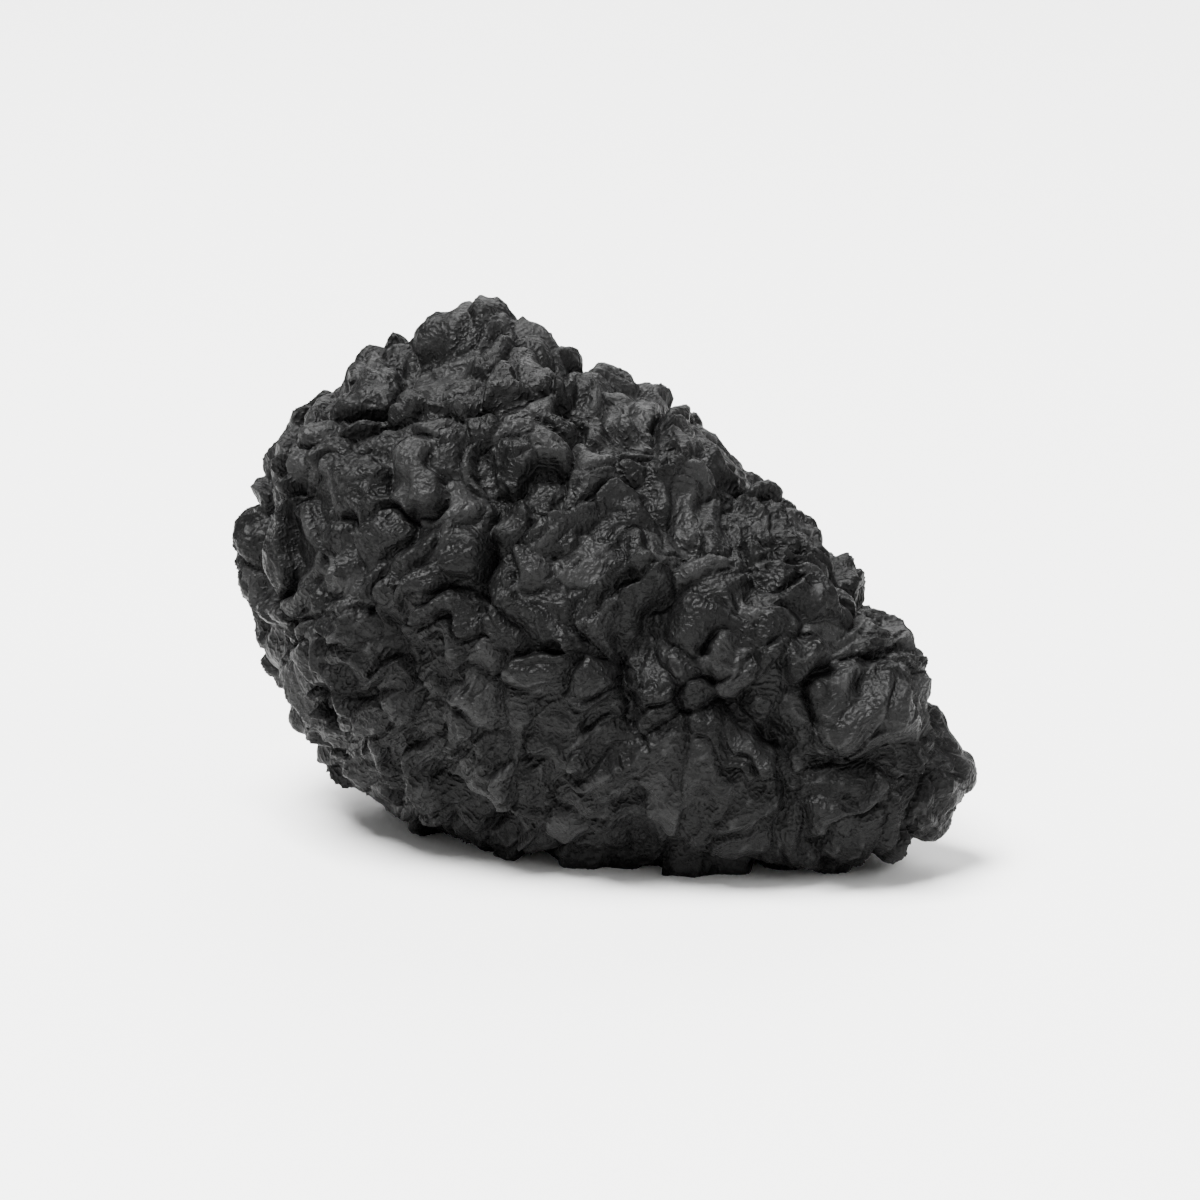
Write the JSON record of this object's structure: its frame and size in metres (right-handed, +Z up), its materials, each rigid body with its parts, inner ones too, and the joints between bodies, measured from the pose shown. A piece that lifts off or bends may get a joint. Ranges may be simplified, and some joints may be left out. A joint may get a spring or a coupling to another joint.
{
  "type": "dried mulberry",
  "caption": "Dried black mulberry: an egg-shaped head of shrunken drupelets with a narrow end, lying on its flattened belly, with a short dried stalk.",
  "frame": {"origin": "middle of the bounding box, at the surface that the fruit lies on", "axes": "+X along the fruit's length towards its narrow end, +Z up, -Y towards the side that the picture shows"},
  "size_m": [0.0176, 0.0157, 0.0129],
  "materials": {
    "dried_skin": "dried, wrinkled, dull black",
    "dried_stalk": "dry, fibrous, orange brown"
  },
  "bodies": {
    "root": {"fruit_head": "dried_skin", "stalk": "dried_stalk"}
  },
  "joints": []
}
